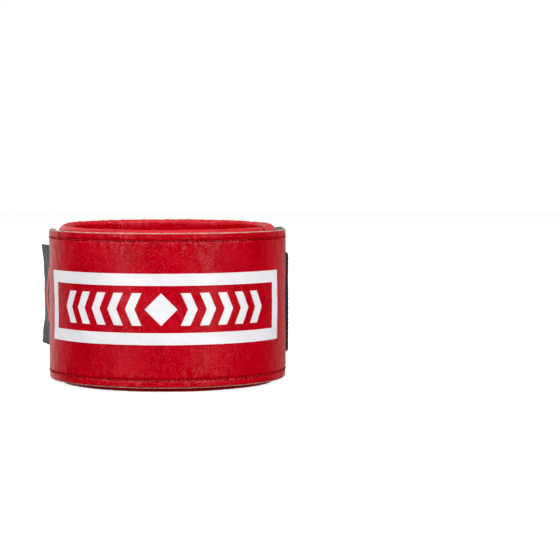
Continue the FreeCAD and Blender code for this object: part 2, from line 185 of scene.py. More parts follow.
def arc(degrees):
    """The length of an arc at the strap's outer radius."""
    return GIRTH_RADIUS * math.radians(degrees)


def ripple(along, across, seed, shortest, longest, waves=9):
    """Uneven ripples, mostly within -1 to 1: plane waves of random length, heading and phase."""
    draw = np.random.default_rng(seed)
    total = np.zeros(np.broadcast(along, across).shape)
    for _ in range(waves):
        length = draw.uniform(shortest, longest)
        heading = draw.uniform(0, math.pi)
        phase = draw.uniform(0, 2 * math.pi)
        distance = along * math.cos(heading) + across * math.sin(heading)
        total = total + np.sin(distance * 2 * math.pi / length + phase)
    return total / math.sqrt(waves * 2)


def bell(distance, width):
    """A bell curve: 1 where distance is 0, falling to 0.37 at width on either side."""
    return np.exp(-((distance / width) ** 2))


def evenly(start, end, step):
    """A column of stations from start to end, about step apart."""
    return np.linspace(start, end, 2 + round(abs(end - start) / step))[:, None]


def stacked(*parts):
    """Arrays broadcast together and stacked along a new last axis."""
    return np.stack(np.broadcast_arrays(*parts), -1)


def add_piece(name, mesh):
    """Puts a finished mesh into the scene as a piece of its own."""
    mesh.update()
    piece = bpy.data.objects.new(name, mesh)
    scene.collection.objects.link(piece)
    return piece


SHARP_FROM = math.radians(50)


def slab(name, face, back, skins, flat):
    """A closed sheet between two grids of points, with a wall round its four sides.

    face and back are rows by columns by 3. flat is the pair of arrays that spread the same
    grid out flat, along and across, and the materials read it.
    skins are the materials of the face, the back and the wall, or one for all.
    """
    rows, columns = face.shape[:2]
    count = rows * columns
    index = np.arange(count).reshape(rows, columns)
    corners = (index[:-1, :-1], index[1:, :-1], index[1:, 1:], index[:-1, 1:])
    front = np.stack(corners, -1).reshape(-1, 4)
    rear = front[:, ::-1] + count
    rim = np.concatenate([index[0, :], index[1:, -1], index[-1, -2::-1], index[-2:0:-1, 0]])
    following = np.roll(rim, -1)
    wall = np.stack([rim, following, following + count, rim + count], -1)
    points = np.concatenate([face.reshape(-1, 3), back.reshape(-1, 3)])
    faces = np.concatenate([front, rear, wall])
    a, b, c, d = (points[faces[:, i]] for i in range(4))
    if np.sum(a * (np.cross(b, c) + np.cross(c, d))) < 0:
        faces = faces[:, ::-1]
    mesh = bpy.data.meshes.new(name)
    mesh.from_pydata(points.tolist(), [], faces.tolist())
    for skin in skins:
        mesh.materials.append(skin)
    if len(skins) == 3:
        number = np.repeat([0, 1, 2], [len(front), len(rear), len(wall)])
        mesh.polygons.foreach_set("material_index", number.astype(np.int32))
    mesh.polygons.foreach_set("use_smooth", np.ones(len(faces), bool))
    mesh.set_sharp_from_angle(angle=SHARP_FROM)
    spread = np.zeros((count, 3))
    spread[:, :2] = stacked(*flat).reshape(-1, 2)
    attribute = mesh.attributes.new("flat", "FLOAT_VECTOR", "POINT")
    attribute.data.foreach_set("vector", np.tile(spread, (2, 1)).ravel())
    return add_piece(name, mesh)


def new_group(name, inputs, outputs):
    """An empty shader group with its value and vector sockets."""
    group = bpy.data.node_groups.new(name, "ShaderNodeTree")
    for label, kind in inputs:
        group.interface.new_socket(label, in_out="INPUT", socket_type=kind)
    for label, kind in outputs:
        group.interface.new_socket(label, in_out="OUTPUT", socket_type=kind)
    return group, group.nodes.new("NodeGroupInput"), group.nodes.new("NodeGroupOutput")


def arithmetic(tree, operation, first, second):
    """A math node. first and second are sockets or plain numbers."""
    node = tree.nodes.new("ShaderNodeMath")
    node.operation = operation
    for place, given in enumerate((first, second)):
        if isinstance(given, (int, float)):
            node.inputs[place].default_value = given
        else:
            tree.links.new(given, node.inputs[place])
    return node.outputs[0]


def noise(tree, place, scale, detail=2, distortion=0):
    """The value of a noise texture with so many lumps to the metre."""
    node = tree.nodes.new("ShaderNodeTexNoise")
    node.inputs["Scale"].default_value = scale
    node.inputs["Detail"].default_value = detail
    node.inputs["Distortion"].default_value = distortion
    tree.links.new(place, node.inputs["Vector"])
    return node.outputs["Fac"]


def build_leather_grain():
    """Leather grain: pebbles with creases between them, fine pores and slow mottling."""
    value, vector = "NodeSocketFloat", "NodeSocketVector"
    group, given, out = new_group(
        "leather_grain",
        [("Place", vector), ("Pebbles per metre", value), ("Gloss", value), ("Spread", value)],
        [("Height", value), ("Roughness", value), ("Mottle", value)],
    )
    place = given.outputs["Place"]
    size = given.outputs["Pebbles per metre"]
    warp = group.nodes.new("ShaderNodeTexNoise")
    warp.inputs["Detail"].default_value = 2
    group.links.new(place, warp.inputs["Vector"])
    group.links.new(size, warp.inputs["Scale"])
    shift = group.nodes.new("ShaderNodeVectorMath")
    shift.operation = "MULTIPLY_ADD"
    shift.inputs[1].default_value = (0.0006, 0.0006, 0.0006)
    group.links.new(warp.outputs["Color"], shift.inputs[0])
    group.links.new(place, shift.inputs[2])
    pebbles = group.nodes.new("ShaderNodeTexVoronoi")
    pebbles.feature = "DISTANCE_TO_EDGE"
    group.links.new(shift.outputs[0], pebbles.inputs["Vector"])
    group.links.new(size, pebbles.inputs["Scale"])
    crease = group.nodes.new("ShaderNodeMapRange")
    crease.interpolation_type = "SMOOTHSTEP"
    crease.inputs["From Max"].default_value = 0.32
    group.links.new(pebbles.outputs["Distance"], crease.inputs["Value"])
    pores = group.nodes.new("ShaderNodeTexNoise")
    pores.inputs["Detail"].default_value = 3
    group.links.new(place, pores.inputs["Vector"])
    group.links.new(arithmetic(group, "MULTIPLY", size, 3.1), pores.inputs["Scale"])
    mottle = noise(group, place, 55, detail=4)
    fine = arithmetic(group, "MULTIPLY", pores.outputs["Fac"], 0.45)
    height = arithmetic(group, "ADD", crease.outputs["Result"], fine)
    group.links.new(height, out.inputs["Height"])
    swing = arithmetic(group, "SUBTRACT", mottle, 0.5)
    swing = arithmetic(group, "ADD", swing, arithmetic(group, "MULTIPLY", fine, 0.5))
    swing = arithmetic(group, "MULTIPLY", swing, given.outputs["Spread"])
    group.links.new(
        arithmetic(group, "ADD", given.outputs["Gloss"], swing), out.inputs["Roughness"]
    )
    group.links.new(mottle, out.inputs["Mottle"])
    return group


LEATHER_GRAIN = build_leather_grain()


def blank(name):
    """A new material: its tree, its shader and the piece's own flat coordinates."""
    material = bpy.data.materials.new(name)
    material.use_nodes = True
    tree = material.node_tree
    spread = tree.nodes.new("ShaderNodeAttribute")
    spread.attribute_name = "flat"
    return material, tree, tree.nodes["Principled BSDF"], spread.outputs["Vector"]


def two_tone(tree, shader, fac, dark, light, low=0.35, high=0.65):
    """Base colour from dark to light as fac goes from low to high."""
    ramp = tree.nodes.new("ShaderNodeValToRGB")
    ramp.color_ramp.elements[0].position = low
    ramp.color_ramp.elements[0].color = (*dark, 1)
    ramp.color_ramp.elements[1].position = high
    ramp.color_ramp.elements[1].color = (*light, 1)
    tree.links.new(fac, ramp.inputs["Fac"])
    tree.links.new(ramp.outputs["Color"], shader.inputs["Base Color"])


def relief(tree, shader, height, strength, distance):
    """Bumps the shader's normal by a height."""
    bump = tree.nodes.new("ShaderNodeBump")
    bump.inputs["Strength"].default_value = strength
    bump.inputs["Distance"].default_value = distance
    tree.links.new(height, bump.inputs["Height"])
    tree.links.new(bump.outputs["Normal"], shader.inputs["Normal"])


def grained(name, dark, light, pebbles, gloss, spread, bump, depth):
    """A material that takes its mottle, roughness and bumps from the leather grain."""
    material, tree, shader, place = blank(name)
    grain = tree.nodes.new("ShaderNodeGroup")
    grain.node_tree = LEATHER_GRAIN
    grain.inputs["Pebbles per metre"].default_value = pebbles
    grain.inputs["Gloss"].default_value = gloss
    grain.inputs["Spread"].default_value = spread
    tree.links.new(place, grain.inputs["Place"])
    tree.links.new(grain.outputs["Roughness"], shader.inputs["Roughness"])
    two_tone(tree, shader, grain.outputs["Mottle"], dark, light)
    relief(tree, shader, grain.outputs["Height"], bump, depth)
    return material, shader


def leather(name, dark, light, pebbles, gloss, spread, bump, coat):
    """Finished grain leather with its own colour, pebble count, gloss and top coat."""
    grain_depth = 0.00022
    material, shader = grained(name, dark, light, pebbles, gloss, spread, bump, grain_depth)
    shader.inputs["Coat Weight"].default_value = coat
    shader.inputs["Coat Roughness"].default_value = 0.22
    shader.inputs["Specular IOR Level"].default_value = 0.2
    return material


red_leather = leather(
    "red_leather", (0.40, 0.0004, 0.0065), (0.47, 0.0006, 0.009),
    pebbles=1050, gloss=0.27, spread=0.28, bump=0.5, coat=0.08,
)


def rim_path(inner, outer, top, turned_in):
    """Section of the folded leather: up the inside, round the rims and over the outside.

    Gives, from the inner lower end to the inner upper one, the radius, the height, the
    outward direction's two parts and the length run so far.
    """
    half = (outer - inner) / 2
    shoulder = top - half
    inside = np.linspace(top - turned_in, shoulder, 8, endpoint=False)
    round_off = np.linspace(0, math.pi, 15)
    outside = np.linspace(-shoulder, shoulder, 84)[1:-1]
    middle = (inner + outer) / 2
    radius = np.concatenate([
        np.full(8, inner), middle - half * np.cos(round_off), np.full(82, outer),
        middle + half * np.cos(round_off), np.full(8, inner),
    ])
    height = np.concatenate([
        -inside, -shoulder - half * np.sin(round_off), outside,
        shoulder + half * np.sin(round_off), inside[::-1],
    ])
    out_radial = np.concatenate([
        np.full(8, -1.0), -np.cos(round_off), np.ones(82), np.cos(round_off), np.full(8, -1.0)
    ])
    out_up = np.concatenate([
        np.zeros(8), -np.sin(round_off), np.zeros(82), np.sin(round_off), np.zeros(8)
    ])
    steps = np.hypot(np.diff(radius), np.diff(height))
    length = np.concatenate([[0], np.cumsum(steps)])
    return radius, height, out_radial, out_up, length


BAND_SEAM = 0.008          # outer seam, below the rim
SETTLE = 0.0013
TURN_IN = 0.0078           # leather turned in on the inside
INNER_SEAM = 0.0062
BAND_ENDS = (-LOOP_LENGTH + arc(62), arc(60))
FLEX = (-0.108, -0.214)     # the stretch either side of the rear left hinge
SPREAD_ZONE = 0.042
# the band's three stretches: rides on the wing, lies over the flex line, rides on the cuff
BAND_STRETCHES = (
    ("left", BAND_ENDS[1], FLEX[0]),
    ("flex", *FLEX),
    ("right", FLEX[1], BAND_ENDS[0]),
)


def band_swell(along, height, facing_out):
    """How far the leather stands proud: a soft roll at each rim, a sunk seam, puckers."""
    depth = BAND_TOP - np.abs(height)
    roll = 0.0006 * np.sin(math.pi * np.clip(depth / BAND_SEAM, 0, 1))
    seam = -0.00055 * bell(depth - BAND_SEAM, 0.0009)
    pucker = ripple(along, 0 * height, 5, 0.0035, 0.009) * bell(depth - BAND_SEAM, 0.003)
    slow = 0.00022 * ripple(along, height, 6, 0.03, 0.09)
    outside = roll + seam + 0.00022 * pucker + slow
    inner_seam = -0.0003 * bell(depth - INNER_SEAM, 0.0007)
    inner_pucker = ripple(along, 0 * height, 8, 0.003, 0.008) * bell(depth, 0.007)
    inside = 0.00035 + inner_seam + 0.0003 * inner_pucker
    share = (facing_out + 1) / 2
    return outside * share + inside * (1 - share)


def band_place(along, radius, height, out_radial, out_up, lift):
    """Points of the band's skin, raised by lift along the skin's own outward direction.

    The soft upper rim settles by SETTLE at the front, less round the sides, not behind.
    """
    front = 0.5 + 0.5 * np.cos(along / GIRTH_RADIUS)
    height = height - SETTLE * front * np.clip(height / BAND_TOP, 0, 1) ** 2
    x, y, out_x, out_y = plan(along, radius)
    x = x + lift * out_radial * out_x
    y = y + lift * out_radial * out_y
    return stacked(x, y, height + lift * out_up)


def fasten(piece, slot_name, joint_name, behind=0, ahead=0, rides_on=None):
    """Rides a piece on one body, or else bakes its placement into its mesh where it stands.

    behind and ahead are not used.
    """
    if rides_on:
        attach(piece, rides_on)
        return
    joint = JOINTS[joint_name]
    hinge = np.array(joint["pos_m"], float)
    centre = np.array([0, STRAIGHT if hinge[1] > STRAIGHT else 0, hinge[2]])
    outward = (hinge - centre) / np.linalg.norm(hinge - centre)
    towards = np.array([outward[1], -outward[0], 0])
    if joint_name == "cuff_spread":
        towards = -towards
    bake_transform(piece)


def fasten_band(piece, slot_name, stretch):
    """Fastens a piece of the band: the left rides on the wing, the right on the cuff."""
    body = {"left": "cuff_wing", "flex": None, "right": "cuff"}[stretch]
    fasten(piece, slot_name, "cuff_spread", SPREAD_ZONE, SPREAD_ZONE, body)


LEATHER_THICK = 0.0009
for stretch, start, end in BAND_STRETCHES:
    stations = evenly(start, end, step=0.0015)
    section = rim_path(BAND_INNER, BAND_OUTER, BAND_TOP, TURN_IN)
    radius, height, out_radial, out_up, length = section
    lift = band_swell(stations, height, out_radial)
    face = band_place(stations, radius, height, out_radial, out_up, lift)
    back = band_place(stations, radius, height, out_radial, out_up, lift - LEATHER_THICK)
    cover = slab(f"band_cover_{stretch}", face, back, [red_leather], (stations, length))
    fasten_band(cover, "red_leather", stretch)
    if stretch == "left":
        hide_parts("wing_cover", "wing_rim_top", "wing_rim_bottom")
    if stretch == "right":
        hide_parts("cuff_cover", "cuff_rim_top", "cuff_rim_bottom")

# ---------------------------- the foam
# Closed-cell foam fills the band, cut a few millimetres short of the rims and loose between the
# leathers. It is in three stretches, one of them on the flex line.
foam, tree, shader, place = blank("foam")
cells = tree.nodes.new("ShaderNodeTexVoronoi")
cells.inputs["Scale"].default_value = 2500
tree.links.new(place, cells.inputs["Vector"])
two_tone(tree, shader, cells.outputs["Distance"], (0.05, 0.05, 0.05), (0.11, 0.10, 0.10), 0, 1)
relief(tree, shader, cells.outputs["Distance"], 0.5, 0.0002)
shader.inputs["Roughness"].default_value = 0.95
FOAM_INNER, FOAM_OUTER, FOAM_HALF, FOAM_INSET = 0.0524, 0.0543, 0.0368, 0.0016
for stretch, start, end in BAND_STRETCHES:
    start = start - FOAM_INSET if stretch == "left" else start
    end = end + FOAM_INSET if stretch == "right" else end
    stations = evenly(start, end, step=0.003)
    height = np.linspace(-FOAM_HALF, FOAM_HALF, 24)
    swell = 0.0002 * ripple(stations, height, 11, 0.01, 0.03)
    face = band_place(stations, FOAM_OUTER, height, 1, 0, swell)
    back = band_place(stations, FOAM_INNER, height, 1, 0, -swell)
    pad = slab(f"band_padding_{stretch}", face, back, [foam], (stations, height))
    fasten_band(pad, "padding", stretch)
    if stretch == "left":
        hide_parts("wing_padding")
    if stretch == "right":
        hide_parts("cuff_padding")

# ---------------------------- the lining
# Thin smooth lining leather, laid over the foam and caught under the turned-in edge. Its darker
# red is partly the lining's own colour and partly painted shade of the inside of the bore. The
# foam pushes it in softly between the two inner seams and it creases there.
# The lining's two reds are darker than its own colour: painted shade of the inside of the bore.
lining_leather_painted_shade = leather(
    "lining_leather_painted_shade", (0.10, 0.0006, 0.003), (0.16, 0.0009, 0.005),
    pebbles=700, gloss=0.36, spread=0.3, bump=0.35, coat=0.1,
)
LINING_HALF = BAND_TOP - TURN_IN + 0.0012
LINING_FACE, LINING_BACK = BAND_INNER + 0.0004, BAND_INNER + 0.0012
for stretch, start, end in BAND_STRETCHES:
    stations = evenly(start, end, step=0.002)
    height = np.linspace(-LINING_HALF, LINING_HALF, 48)
    middle = 1 - (height / LINING_HALF) ** 6
    crease = 0.00036 * ripple(stations, height, 14, 0.007, 0.026, 14) * middle
    gather = ripple(stations, 0 * height, 15, 0.004, 0.011)
    gather = 0.00022 * gather * bell(LINING_HALF - np.abs(height), 0.006)
    lift = -0.0006 * middle + crease + gather
    face = band_place(stations, LINING_FACE, height, 1, 0, lift)
    back = band_place(stations, LINING_BACK, height, 1, 0, lift * 0.2)
    lining = slab(f"band_lining_{stretch}", face, back, [lining_leather_painted_shade], (stations, height))
    fasten_band(lining, "lining", stretch)
    if stretch == "left":
        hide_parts("wing_lining")
    if stretch == "right":
        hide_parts("cuff_lining")

# ---------------------------- the band's end bindings
# A narrow strip of the same leather, turned over each end of the band and glued down. It
# closes the cut edges of the cover, the foam and the lining.
for name, node, body, start, away in (
    ("wing_end_trim", "wing_end_binding", "cuff_wing", BAND_ENDS[1], -1),
    ("cuff_end_trim", "cuff_end_binding", "cuff", BAND_ENDS[0], 1),
):
    bulge = np.sin(np.linspace(0.12, math.pi - 0.12, 14))
    width = np.linspace(BAND_INNER, BAND_OUTER, 14)
    height = np.linspace(-1, 1, 60)[:, None] * (BAND_TOP - 0.0014 * (1 - bulge))
    edge = start - away * 0.0006 * bulge + 0 * height
    puffed = band_place(edge, width, height, 1, 0, 0)
    seated = band_place(start + away * 0.0013 + 0 * height, width, height, 1, 0, 0)
    trim = slab(name, puffed, seated, [red_leather], (height, width))
    fasten(trim, "red_leather", None, rides_on=body)
    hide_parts(node)

# ---------------------------- the band's stitching
# Red waxed thread, lock-stitched; its dark red is partly its own colour and partly painted shade
# of the sunk seams. The two outer seams firm the rims, and the two inner ones hold the turned-in
# leather down on the lining.


def waxed_thread(name, dark, light, distortion=0):
    """Twisted waxed thread: diagonal bands of two tones, the lighter ones raised."""
    material, tree, shader, _ = blank(name)
    own_place = tree.nodes.new("ShaderNodeTexCoord")
    twist = tree.nodes.new("ShaderNodeTexWave")
    twist.bands_direction = "DIAGONAL"
    twist.inputs["Scale"].default_value = 900
    twist.inputs["Distortion"].default_value = distortion
    tree.links.new(own_place.outputs["Object"], twist.inputs["Vector"])
    two_tone(tree, shader, twist.outputs["Fac"], dark, light, 0, 1)
    relief(tree, shader, twist.outputs["Fac"], 0.4, 0.0001)
    shader.inputs["Roughness"].default_value = 0.5
    return material


# The red thread's two tones are darker than its own red: painted shade of the thread lying in the
# sunk seams.
thread = waxed_thread("red_thread_painted_shade", (0.11, 0.0008, 0.003), (0.26, 0.0015, 0.006), distortion=1.5)


def ring_quads(rings, sides):
    """The indices of a tube's points, rings by sides, and the quads round it."""
    index = np.arange(rings * sides).reshape(rings, sides)
    turned = np.roll(index, -1, axis=1)
    quads = np.stack([index[:-1], turned[:-1], turned[1:], index[1:]], -1)
    return index, quads.reshape(-1, 4)


def turn_outward(mesh, points):
    """Turns a mesh inside out if its first face looks in at the middle of the points."""
    corner = np.array([mesh.vertices[i].co for i in mesh.polygons[0].vertices])
    out = np.cross(corner[1] - corner[0], corner[2] - corner[1])
    if out @ (corner.mean(axis=0) - points.reshape(-1, 3).mean(axis=0)) < 0:
        mesh.flip_normals()


def stitches(place_at, stations, length, radius, skin):
    """A row of stitches, each a thin rod that dips into the leather at both ends.

    place_at(stations, lift) gives points on the seam. Each rod has five rings of six
    points; its middle ring stands highest and its end rings are sunk and narrow.
    """
    sink = 0.00012
    share = np.array([-1, -0.62, 0, 0.62, 1])
    girth = np.array([0.35, 0.95, 1, 0.95, 0.35])
    drop = np.array([1.5, 0.25, 0, 0.25, 1.5]) * radius
    around = np.arange(6) * math.pi / 3
    here = place_at(stations, 0.0)
    ahead = place_at(stations + 0.0004, 0.0) - here
    above = place_at(stations, 0.001) - here
    ahead = ahead / np.linalg.norm(ahead, axis=1, keepdims=True)
    above = above / np.linalg.norm(above, axis=1, keepdims=True)
    beside = np.cross(ahead, above)
    reach = (share * length / 2)[None, :, None, None] * ahead[:, None, None, :]
    wide = girth[:, None] * radius * np.cos(around)
    tall = girth[:, None] * radius * np.sin(around) - drop[:, None] + radius - sink
    points = (
        here[:, None, None, :]
        + reach
        + wide[None, :, :, None] * beside[:, None, None, :]
        + tall[None, :, :, None] * above[:, None, None, :]
    )
    rings, sides = len(share), len(around)
    index, quads = ring_quads(rings, sides)
    first = np.arange(len(here)) * rings * sides
    tube = (first[:, None, None] + quads).reshape(-1, 4).tolist()
    caps = (first[:, None] + index[0][::-1]).tolist() + (first[:, None] + index[-1]).tolist()
    mesh = bpy.data.meshes.new("stitches")
    mesh.from_pydata(points.reshape(-1, 3).tolist(), [], tube + caps)
    mesh.polygons.foreach_set("use_smooth", np.ones(len(mesh.polygons), bool))
    mesh.materials.append(skin)
    turn_outward(mesh, points[0])
    return add_piece("stitches", mesh)


def join_pieces(name, pieces):
    """Joins several pieces into one and names it."""
    with bpy.context.temp_override(
        active_object=pieces[0], selected_editable_objects=pieces, object=pieces[0]
    ):
        bpy.ops.object.join()
    pieces[0].name = name
    return pieces[0]


BAND_STITCH, BAND_STITCH_PITCH, BAND_THREAD = 0.0021, 0.0028, 0.00028


def stitch_middles(start, end):
    """The middles of the band's stitches from start to end."""
    count = round(abs(end - start) / BAND_STITCH_PITCH)
    return start + (np.arange(count) + 0.5) * (end - start) / count


for stretch, start, end in BAND_STRETCHES:
    stations = stitch_middles(start, end)
    rows = []
    for level, surface, facing in (
        (BAND_TOP - BAND_SEAM, BAND_OUTER, 1),
        (BAND_SEAM - BAND_TOP, BAND_OUTER, 1),
        (BAND_TOP - INNER_SEAM, BAND_INNER, -1),
        (INNER_SEAM - BAND_TOP, BAND_INNER, -1),
    ):

        def band_row(along, lift, level=level, surface=surface, facing=facing):
            """Along one of the four seams; the inner two face the wrist."""
            rise = band_swell(along, np.full_like(along, level), facing) + lift
            return band_place(along, surface, level, facing, 0, rise)

        rows.append(stitches(band_row, stations, BAND_STITCH, BAND_THREAD, thread))
    fasten_band(join_pieces(f"band_stitching_{stretch}", rows), "thread", stretch)

# ---------------------------- the loop patch
# Brushed nylon loop tape, black, sewn on the outside of the band from under the strap
# round the left and the rear.
loop_pile, tree, shader, place = blank("loop_pile")
tangle = noise(tree, place, 2400, detail=3, distortion=2.5)
curls = tree.nodes.new("ShaderNodeTexVoronoi")
curls.inputs["Scale"].default_value = 1150
tree.links.new(place, curls.inputs["Vector"])
pile = arithmetic(tree, "SUBTRACT", tangle, curls.outputs["Distance"])
two_tone(tree, shader, pile, (0.002, 0.002, 0.0025), (0.026, 0.026, 0.028), -0.1, 0.5)
relief(tree, shader, pile, 1.0, 0.0006)
shader.inputs["Roughness"].default_value = 0.9
shader.inputs["Sheen Weight"].default_value = 0.35
shader.inputs["Sheen Roughness"].default_value = 0.5
black_thread = waxed_thread("black_thread", (0.006, 0.006, 0.006), (0.03, 0.03, 0.03))
LOOP_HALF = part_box("loop_patch_side")[1].z
LOOP_OUTER = 0.0571
LOOP_BORDER, LOOP_THREAD = 0.0022, 0.00024
BEDDED = 0.0004             # how far a sewn-on tape's back is set into the leather
LOOP_STRETCHES = (
    ("left", -arc(60), FLEX[0]),
    ("flex", *FLEX),
    ("right", FLEX[1], -(QUARTER + STRAIGHT + arc(140))),
)
for stretch, start, end in LOOP_STRETCHES:
    stations = evenly(start, end, step=0.0011)
    height = np.linspace(-LOOP_HALF, LOOP_HALF, 58)
    edge = np.clip((LOOP_HALF - np.abs(height)) / LOOP_BORDER, 0, 1)
    tuft = np.random.default_rng(21).uniform(-1, 1, (len(stations), len(height)))
    lift = 0.00009 * tuft - 0.0008 * (1 - edge) ** 2
    ragged = 0.00035 * ripple(stations, height, 22, 0.001, 0.004) * (edge < 1)
    face = band_place(stations, LOOP_OUTER, height + ragged, 1, 0, lift)
    back = band_place(stations, BAND_OUTER - BEDDED, height + ragged, 1, 0, 0)
    patch = slab(f"loop_tape_{stretch}", face, back, [loop_pile], (stations, height))
    fasten_band(patch, "loop_tape", stretch)
    if stretch == "left":
        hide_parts("loop_patch_side")
    if stretch == "right":
        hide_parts("loop_patch_rear")
    stations = stitch_middles(start, end)
    rows = []
    for level in (LOOP_HALF - LOOP_BORDER / 2, LOOP_BORDER / 2 - LOOP_HALF):

        def patch_row(along, lift, level=level):
            """Along the loop tape's woven border."""
            return band_place(along, LOOP_OUTER - 0.0002, level, 1, 0, lift)

        rows.append(stitches(patch_row, stations, BAND_STITCH, LOOP_THREAD, black_thread))
    fasten_band(join_pieces(f"loop_stitching_{stretch}", rows), "thread", stretch)

# ---------------------------- the strap's leather
# A wide strip of the same red leather, cut and left raw at the edges, which show tan. It is
# stitched four millimetres in from its edges and its free end, whose corners are clipped.
raw_edge, tree, shader, _ = blank("raw_edge")
own_place = tree.nodes.new("ShaderNodeTexCoord")
fibres = noise(tree, own_place.outputs["Object"], 900, detail=5)
two_tone(tree, shader, fibres, (0.22, 0.12, 0.09), (0.52, 0.38, 0.30))
relief(tree, shader, fibres, 0.6, 0.0003)
shader.inputs["Roughness"].default_value = 0.9

STRAP_OUTER = GIRTH_RADIUS
STRAP_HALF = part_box("strap_cover_root")[1].z
TIP_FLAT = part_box("strap_cover_tip")[1].y
TIP_END = -(QUARTER + TIP_FLAT)
CLIP_LENGTH, CLIP_DEPTH = 0.018, 0.0113
STITCH_MARGIN = 0.0040
STITCH_PITCH = 0.0023
ANCHOR_END = QUARTER + STRAIGHT + arc(10)
SPLIT_RIGHT, SPLIT_LEFT = arc(31), -arc(40)
# the strap's three stretches, each with a joint and two lengths about its hinge
STRAP_STRETCHES = (
    ("right", ANCHOR_END, SPLIT_RIGHT, ("flap_open", 0.016, 0.038)),
    ("front", SPLIT_RIGHT, SPLIT_LEFT, ("flap_bend_middle", 0.034, 0.034)),
    ("left", SPLIT_LEFT, TIP_END, ("flap_bend_tip", 0.034, 0.023)),
)
STRAP_NODES = {"right": "root", "front": "middle", "left": "tip"}


def strap_plan(along, radius):
    """Plan of the strap: as the cuff's, but its free end runs on straight at the left."""
    x, y, out_x, out_y = plan(along, radius)
    beyond = -along - QUARTER
    flat = beyond > 0
    return (
        np.where(flat, -radius, x), np.where(flat, beyond, y),
        np.where(flat, -1.0, out_x), np.where(flat, 0.0, out_y),
    )


def strap_edge(along):
    """Half the strap's width, which falls away over the clipped corners."""
    into_clip = np.clip((CLIP_LENGTH - (along - TIP_END)) / CLIP_LENGTH, 0, 1)
    return STRAP_HALF - CLIP_DEPTH * into_clip


def strap_swell(along, height):
    """How far the strap's face stands proud of its radius.

    The seams are sunk, with a small pit at each needle hole. Puckers run in from them
    and fade. The cut edge is pressed down a little and the middle swells slowly.
    """
    from_edge = strap_edge(along) - np.abs(height)
    from_end = along - TIP_END
    reach = np.minimum(from_edge, np.where(from_edge > STITCH_MARGIN, from_end, from_edge))
    inward = reach - STITCH_MARGIN
    seam = -0.00032 * bell(inward, 0.0006)
    beat = (0.5 + 0.5 * np.cos(2 * math.pi * along / STITCH_PITCH)) ** 2
    pits = -0.00030 * beat * bell(from_edge - STITCH_MARGIN, 0.0006)
    fade = bell(inward, np.where(inward > 0, 0.0050, 0.003))
    strong = 0.4 + 0.6 * np.clip(ripple(along, 0 * height, 33, 0.02, 0.06), 0, 1)
    pucker = 0.00028 * ripple(along, height * 0.3, 31, 0.0024, 0.0065, 12) * fade * strong
    crease = 0.00007 * ripple(along, height, 35, 0.003, 0.009, 14)
    slow = 0.00028 * ripple(along, height, 32, 0.03, 0.08)
    edge = -0.00030 * np.clip(1 - reach / 0.0009, 0, 1) ** 2
    return seam + pits + pucker + crease + slow + edge


def strap_place(along, height, lift):
    """Points on the strap's face, raised by lift above its swell."""
    rise = strap_swell(along, height) + lift
    x, y, out_x, out_y = strap_plan(along, STRAP_OUTER)
    return stacked(x + rise * out_x, y + rise * out_y, height)


def strap_grid(start, end, step, rows):
    """Stations and heights of a strap sheet. Rows near the edges keep their distance to it."""
    stations = evenly(start, end, step)
    margin = 0.0085
    near = np.linspace(0, 1, rows) * margin
    half = strap_edge(stations)
    centre = np.linspace(-1, 1, 44)[1:-1] * (half - margin)
    height = np.concatenate([near - half, centre, half - near[::-1]], axis=1)
    return stations, height


def strap_layer(along, height, depth):
    """Points at an even distance from the strap's outer radius, negative further in."""
    return stacked(*strap_plan(along, STRAP_OUTER + depth)[:2], height)


STRAP_STEP, STRAP_EDGE_ROWS = STITCH_PITCH / 5, 21
STRAP_LEATHER_INNER = -0.0010
for stretch, start, end, bend in STRAP_STRETCHES:
    stations, height = strap_grid(start, end, STRAP_STEP, STRAP_EDGE_ROWS)
    face = strap_place(stations, height, 0.0)
    back = strap_layer(stations, height, STRAP_LEATHER_INNER)
    skins = [red_leather, raw_edge, raw_edge]
    skin = slab(f"strap_leather_{stretch}", face, back, skins, (stations, height))
    bare = np.zeros((len(stations) - 1, height.shape[1] - 1), np.int32)
    bare[:, [0, -1]] = 1
    if stretch == "left":
        bare[-1, :] = 1
    numbers = np.zeros(len(skin.data.polygons), np.int32)
    skin.data.polygons.foreach_get("material_index", numbers)
    numbers[: bare.size] = bare.ravel()
    skin.data.polygons.foreach_set("material_index", numbers)
    fasten(skin, "red_leather", *bend)
    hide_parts(f"strap_cover_{STRAP_NODES[stretch]}")
    if stretch == "right":
        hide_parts("anchor_cover")

# ---------------------------- inside the strap
# A black felt interlining and a napped black backing that faces the band, both cut to the
# shape of the leather and glued to it.
felt, tree, shader, place = blank("black_felt")
nap = noise(tree, place, 1400, detail=4)
two_tone(tree, shader, nap, (0.008, 0.008, 0.008), (0.03, 0.03, 0.03))
relief(tree, shader, nap, 0.9, 0.0006)
shader.inputs["Roughness"].default_value = 0.95
shader.inputs["Sheen Weight"].default_value = 0.2
FELT_MIDDLE, FELT_BOTTOM, FELT_SHORT = -0.0020, -0.0026, 0.0003
for layer, slot_name, top, bottom in (
    ("interlining", "padding", STRAP_LEATHER_INNER, FELT_MIDDLE),
    ("backing", "backing", FELT_MIDDLE, FELT_BOTTOM),
):
    for stretch, start, end, bend in STRAP_STRETCHES:
        stations, height = strap_grid(start, end, step=0.003, rows=3)
        height = height * (1 - FELT_SHORT / STRAP_HALF)
        sides = [strap_layer(stations, height, depth) for depth in (top, bottom)]
        sheet = slab(f"strap_{layer}_{stretch}", *sides, [felt], (stations, height))
        fasten(sheet, slot_name, *bend)
        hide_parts(f"strap_{layer}_{STRAP_NODES[stretch]}")
        if stretch == "right":
            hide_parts(f"anchor_{layer}")

